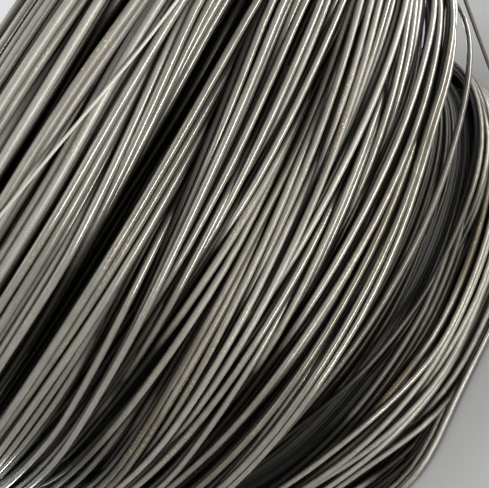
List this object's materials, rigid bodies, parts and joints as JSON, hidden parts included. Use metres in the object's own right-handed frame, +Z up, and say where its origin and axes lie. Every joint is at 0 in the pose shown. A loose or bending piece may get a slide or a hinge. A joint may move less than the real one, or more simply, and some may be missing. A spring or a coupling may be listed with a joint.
{
  "type": "coil of phosphate coated wire",
  "caption": "Coil of phosphate coated steel wire lying on its end, with loosely banded round turns about an open bore, bound by twisted tie wires, and a thin wire across its upper turns.",
  "frame": {"origin": "centre of the coil on the floor that it lies on, under the tie wires", "axes": "+Z up along the coil's axis; the pictured side of the coil faces -Y"},
  "size_m": [0.7333, 0.7334, 0.3546],
  "materials": {
    "coated_wire": "satin",
    "tie_wire": "satin",
    "thin_wire": "satin"
  },
  "bodies": {
    "root": {"wire_coil": "coated_wire", "tie_wire_1": "tie_wire", "tie_wire_2": "tie_wire", "tie_wire_3": "tie_wire", "tie_wire_4": "tie_wire", "thin_wire": "thin_wire"}
  },
  "joints": []
}
